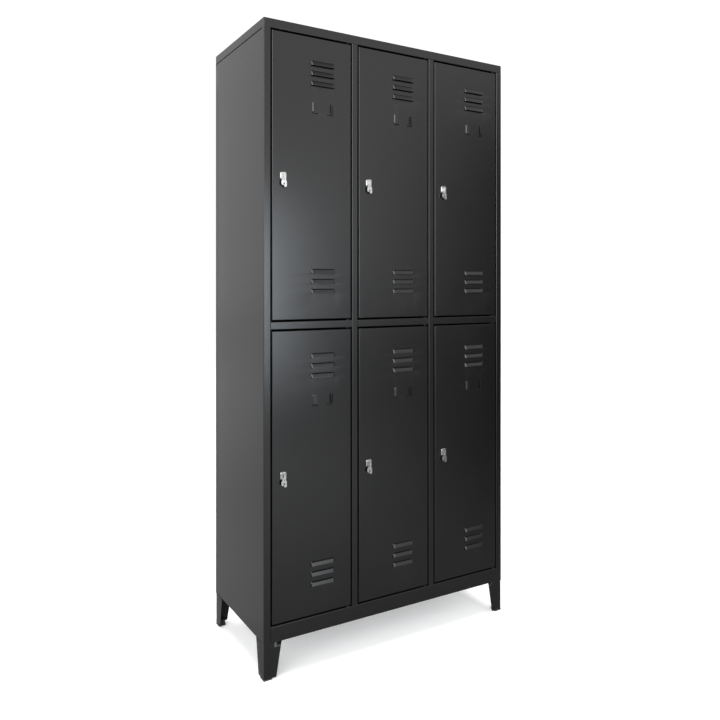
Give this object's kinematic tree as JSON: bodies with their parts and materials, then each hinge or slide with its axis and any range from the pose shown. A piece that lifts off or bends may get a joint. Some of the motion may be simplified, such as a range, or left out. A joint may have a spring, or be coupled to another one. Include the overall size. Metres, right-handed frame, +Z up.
{
  "type": "locker cabinet",
  "caption": "Free-standing sheet-steel locker cabinet with two rows of louvred hinged doors, cam locks with folding keys, and tapered legs.",
  "frame": {"origin": "on the floor, under the middle of the whole cabinet's bounding box", "axes": "+X to the right seen from the front, +Y to the back, +Z up; the doors face -Y"},
  "size_m": [0.9, 0.4102, 1.9],
  "materials": {
    "black_coat": "fine-textured satin black powder coat",
    "black_plastic": "moulded black plastic",
    "zinc": "bright zinc plate",
    "nickel": "polished nickel plate"
  },
  "bodies": {
    "cabinet": {"side_panel_left": "black_coat", "side_panel_right": "black_coat", "top_cap": "black_coat", "bottom_panel": "black_coat", "back_panel": "black_coat", "partition_left": "black_coat", "partition_right": "black_coat", "shelf_left": "black_coat", "shelf_middle": "black_coat", "shelf_right": "black_coat", "leg_front_left": "black_coat", "leg_front_right": "black_coat", "leg_rear_left": "black_coat", "leg_rear_right": "black_coat", "leg_glides": "black_plastic", "leg_screws": "zinc", "coat_rails": "zinc", "hinge_bushes": "black_plastic"},
    "door_upper_left": {"door_panel_upper_left": "black_coat", "door_stiffener_upper_left": "black_coat", "hinge_pins_upper_left": "zinc", "lock_barrel_upper_left": "nickel"},
    "latch_upper_left": {"lock_cam_upper_left": "nickel"},
    "key_upper_left": {"key_blade_upper_left": "nickel"},
    "bow_upper_left": {"key_bow_upper_left": "nickel"},
    "door_upper_middle": {"door_panel_upper_middle": "black_coat", "door_stiffener_upper_middle": "black_coat", "hinge_pins_upper_middle": "zinc", "lock_barrel_upper_middle": "nickel"},
    "latch_upper_middle": {"lock_cam_upper_middle": "nickel"},
    "key_upper_middle": {"key_blade_upper_middle": "nickel"},
    "bow_upper_middle": {"key_bow_upper_middle": "nickel"},
    "door_upper_right": {"door_panel_upper_right": "black_coat", "door_stiffener_upper_right": "black_coat", "hinge_pins_upper_right": "zinc", "lock_barrel_upper_right": "nickel"},
    "latch_upper_right": {"lock_cam_upper_right": "nickel"},
    "key_upper_right": {"key_blade_upper_right": "nickel"},
    "bow_upper_right": {"key_bow_upper_right": "nickel"},
    "door_lower_left": {"door_panel_lower_left": "black_coat", "door_stiffener_lower_left": "black_coat", "hinge_pins_lower_left": "zinc", "lock_barrel_lower_left": "nickel"},
    "latch_lower_left": {"lock_cam_lower_left": "nickel"},
    "key_lower_left": {"key_blade_lower_left": "nickel"},
    "bow_lower_left": {"key_bow_lower_left": "nickel"},
    "door_lower_middle": {"door_panel_lower_middle": "black_coat", "door_stiffener_lower_middle": "black_coat", "hinge_pins_lower_middle": "zinc", "lock_barrel_lower_middle": "nickel"},
    "latch_lower_middle": {"lock_cam_lower_middle": "nickel"},
    "key_lower_middle": {"key_blade_lower_middle": "nickel"},
    "bow_lower_middle": {"key_bow_lower_middle": "nickel"},
    "door_lower_right": {"door_panel_lower_right": "black_coat", "door_stiffener_lower_right": "black_coat", "hinge_pins_lower_right": "zinc", "lock_barrel_lower_right": "nickel"},
    "latch_lower_right": {"lock_cam_lower_right": "nickel"},
    "key_lower_right": {"key_blade_lower_right": "nickel"},
    "bow_lower_right": {"key_bow_lower_right": "nickel"}
  },
  "joints": [
    {"name": "door_hinge_upper_left", "type": "hinge", "parent": "cabinet", "child": "door_upper_left", "pos_m": [-0.1685, -0.18845, 1.45013], "axis": [0, 0, 1], "range_deg": [0, 110]},
    {"name": "lock_turn_upper_left", "type": "hinge", "parent": "door_upper_left", "child": "latch_upper_left", "pos_m": [-0.3895, -0.19495, 1.45012], "axis": [0, 1, 0], "range_deg": [0, 90]},
    {"name": "key_slide_upper_left", "type": "slide", "parent": "latch_upper_left", "child": "key_upper_left", "axis": [0, -1, 0], "range_m": [0, 0.03]},
    {"name": "bow_swing_upper_left", "type": "hinge", "parent": "key_upper_left", "child": "bow_upper_left", "pos_m": [-0.3895, -0.20245, 1.44112], "axis": [-1, 0, 0], "range_deg": [0, 90]},
    {"name": "door_hinge_upper_middle", "type": "hinge", "parent": "cabinet", "child": "door_upper_middle", "pos_m": [0.1235, -0.18845, 1.45013], "axis": [0, 0, 1], "range_deg": [0, 110]},
    {"name": "lock_turn_upper_middle", "type": "hinge", "parent": "door_upper_middle", "child": "latch_upper_middle", "pos_m": [-0.0975, -0.19495, 1.45012], "axis": [0, 1, 0], "range_deg": [0, 90]},
    {"name": "key_slide_upper_middle", "type": "slide", "parent": "latch_upper_middle", "child": "key_upper_middle", "axis": [0, -1, 0], "range_m": [0, 0.03]},
    {"name": "bow_swing_upper_middle", "type": "hinge", "parent": "key_upper_middle", "child": "bow_upper_middle", "pos_m": [-0.0975, -0.20245, 1.44112], "axis": [-1, 0, 0], "range_deg": [0, 90]},
    {"name": "door_hinge_upper_right", "type": "hinge", "parent": "cabinet", "child": "door_upper_right", "pos_m": [0.4155, -0.18845, 1.45013], "axis": [0, 0, 1], "range_deg": [0, 110]},
    {"name": "lock_turn_upper_right", "type": "hinge", "parent": "door_upper_right", "child": "latch_upper_right", "pos_m": [0.1945, -0.19495, 1.45012], "axis": [0, 1, 0], "range_deg": [0, 90]},
    {"name": "key_slide_upper_right", "type": "slide", "parent": "latch_upper_right", "child": "key_upper_right", "axis": [0, -1, 0], "range_m": [0, 0.03]},
    {"name": "bow_swing_upper_right", "type": "hinge", "parent": "key_upper_right", "child": "bow_upper_right", "pos_m": [0.1945, -0.20245, 1.44112], "axis": [-1, 0, 0], "range_deg": [0, 90]},
    {"name": "door_hinge_lower_left", "type": "hinge", "parent": "cabinet", "child": "door_lower_left", "pos_m": [-0.1685, -0.18845, 0.57788], "axis": [0, 0, 1], "range_deg": [0, 110]},
    {"name": "lock_turn_lower_left", "type": "hinge", "parent": "door_lower_left", "child": "latch_lower_left", "pos_m": [-0.3895, -0.19495, 0.58188], "axis": [0, 1, 0], "range_deg": [0, 90]},
    {"name": "key_slide_lower_left", "type": "slide", "parent": "latch_lower_left", "child": "key_lower_left", "axis": [0, -1, 0], "range_m": [0, 0.03]},
    {"name": "bow_swing_lower_left", "type": "hinge", "parent": "key_lower_left", "child": "bow_lower_left", "pos_m": [-0.3895, -0.20245, 0.57288], "axis": [-1, 0, 0], "range_deg": [0, 90]},
    {"name": "door_hinge_lower_middle", "type": "hinge", "parent": "cabinet", "child": "door_lower_middle", "pos_m": [0.1235, -0.18845, 0.57788], "axis": [0, 0, 1], "range_deg": [0, 110]},
    {"name": "lock_turn_lower_middle", "type": "hinge", "parent": "door_lower_middle", "child": "latch_lower_middle", "pos_m": [-0.0975, -0.19495, 0.58188], "axis": [0, 1, 0], "range_deg": [0, 90]},
    {"name": "key_slide_lower_middle", "type": "slide", "parent": "latch_lower_middle", "child": "key_lower_middle", "axis": [0, -1, 0], "range_m": [0, 0.03]},
    {"name": "bow_swing_lower_middle", "type": "hinge", "parent": "key_lower_middle", "child": "bow_lower_middle", "pos_m": [-0.0975, -0.20245, 0.57288], "axis": [-1, 0, 0], "range_deg": [0, 90]},
    {"name": "door_hinge_lower_right", "type": "hinge", "parent": "cabinet", "child": "door_lower_right", "pos_m": [0.4155, -0.18845, 0.57788], "axis": [0, 0, 1], "range_deg": [0, 110]},
    {"name": "lock_turn_lower_right", "type": "hinge", "parent": "door_lower_right", "child": "latch_lower_right", "pos_m": [0.1945, -0.19495, 0.58188], "axis": [0, 1, 0], "range_deg": [0, 90]},
    {"name": "key_slide_lower_right", "type": "slide", "parent": "latch_lower_right", "child": "key_lower_right", "axis": [0, -1, 0], "range_m": [0, 0.03]},
    {"name": "bow_swing_lower_right", "type": "hinge", "parent": "key_lower_right", "child": "bow_lower_right", "pos_m": [0.1945, -0.20245, 0.57288], "axis": [-1, 0, 0], "range_deg": [0, 90]}
  ]
}
